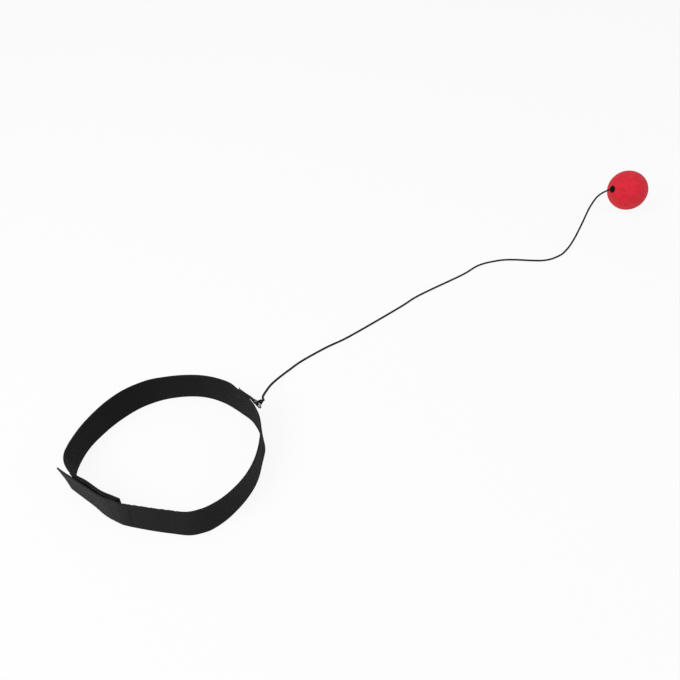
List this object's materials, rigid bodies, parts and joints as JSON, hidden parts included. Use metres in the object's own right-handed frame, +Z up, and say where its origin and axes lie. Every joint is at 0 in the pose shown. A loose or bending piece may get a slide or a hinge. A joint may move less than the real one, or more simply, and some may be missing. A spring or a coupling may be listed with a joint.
{
  "type": "boxing reflex ball",
  "caption": "Elastic headband with hook-and-loop closure, a sewn ring anchor and a thin elastic cord that carries a soft foam ball for punching practice.",
  "frame": {"origin": "middle of the headband's opening, level with the strap's lower edge and the surface that it lies on", "axes": "+Z up through the headband's opening, as the band is worn; +X to the right as the picture shows the part, towards the ball; +Y away from the camera"},
  "size_m": [0.7208, 0.6029, 0.0575],
  "materials": {
    "webbing": "matte",
    "tape": "matte",
    "thread": "matte",
    "ribbon": "matte",
    "ring": "satin",
    "cord": "matte",
    "foam": "matte",
    "grommet": "matte",
    "washer": "matte"
  },
  "bodies": {
    "headband": {"headband_strap": "webbing", "loop_tape": "tape", "loop_tape_stitches": "thread", "ring_ribbon": "ribbon", "ring_ribbon_stitches": "thread"},
    "flap": {"closure_flap": "webbing", "hook_tape": "tape", "hook_tape_stitches": "thread"},
    "ring": {"anchor_ring": "ring"},
    "cord": {"ring_knot": "cord", "elastic_cord": "cord", "cord_in_ball": "cord", "stop_knot": "cord"},
    "ball": {"ball": "foam", "ball_grommet": "grommet", "stop_washer": "washer"}
  },
  "joints": [
    {"name": "flap_peel", "type": "hinge", "parent": "headband", "child": "flap", "pos_m": [-0.03165, -0.07931, 0.0165], "axis": [0, 0, 1], "range_deg": [0, 110]},
    {"name": "ring_swing", "type": "hinge", "parent": "headband", "child": "ring", "pos_m": [0.08234, 0.0447, 0.0314], "axis": [0, 0, 1], "range_deg": [-15, 60]},
    {"name": "cord_lift", "type": "hinge", "parent": "ring", "child": "cord", "pos_m": [0.08528, 0.04143, 0.0345], "axis": [0.6691, -0.7431, 0], "range_deg": [0, 90]},
    {"name": "ball_spin", "type": "hinge", "parent": "cord", "child": "ball", "pos_m": [0.599, 0.483, 0.02875], "axis": [-0.9318, -0.2849, 0.225], "continuous": true}
  ]
}
